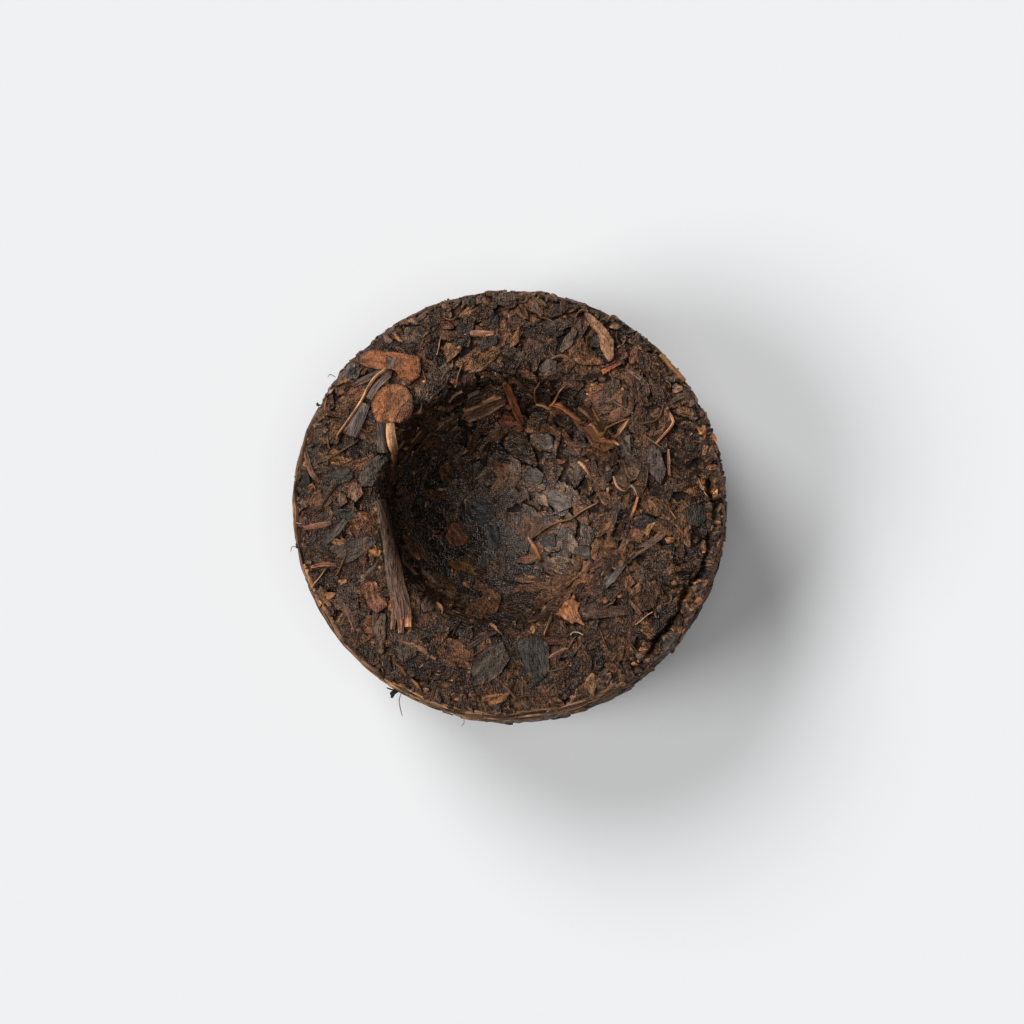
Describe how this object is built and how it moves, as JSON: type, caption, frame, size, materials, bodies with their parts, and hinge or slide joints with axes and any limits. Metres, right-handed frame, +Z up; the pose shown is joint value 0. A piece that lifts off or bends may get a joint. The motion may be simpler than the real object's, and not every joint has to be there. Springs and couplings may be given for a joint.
{
  "type": "pu erh tea cake",
  "caption": "Nest-shaped cake of dark pressed tea leaf: a thick round disc with a domed back and a bowl-shaped hollow in its flat top.",
  "frame": {"origin": "middle of the flat spot under the domed back that the cake rests on", "axes": "+Z up out of the hollow along the axis of the press; +X to the right and +Y away from the viewer in the top view"},
  "size_m": [0.084, 0.0841, 0.0363],
  "materials": {
    "pressed_leaf": "dry pressed tea leaf, dark brown with slate, rust and tan flakes, dull waxy sheen"
  },
  "bodies": {
    "root": {"tea_cake": "pressed_leaf"}
  },
  "joints": []
}
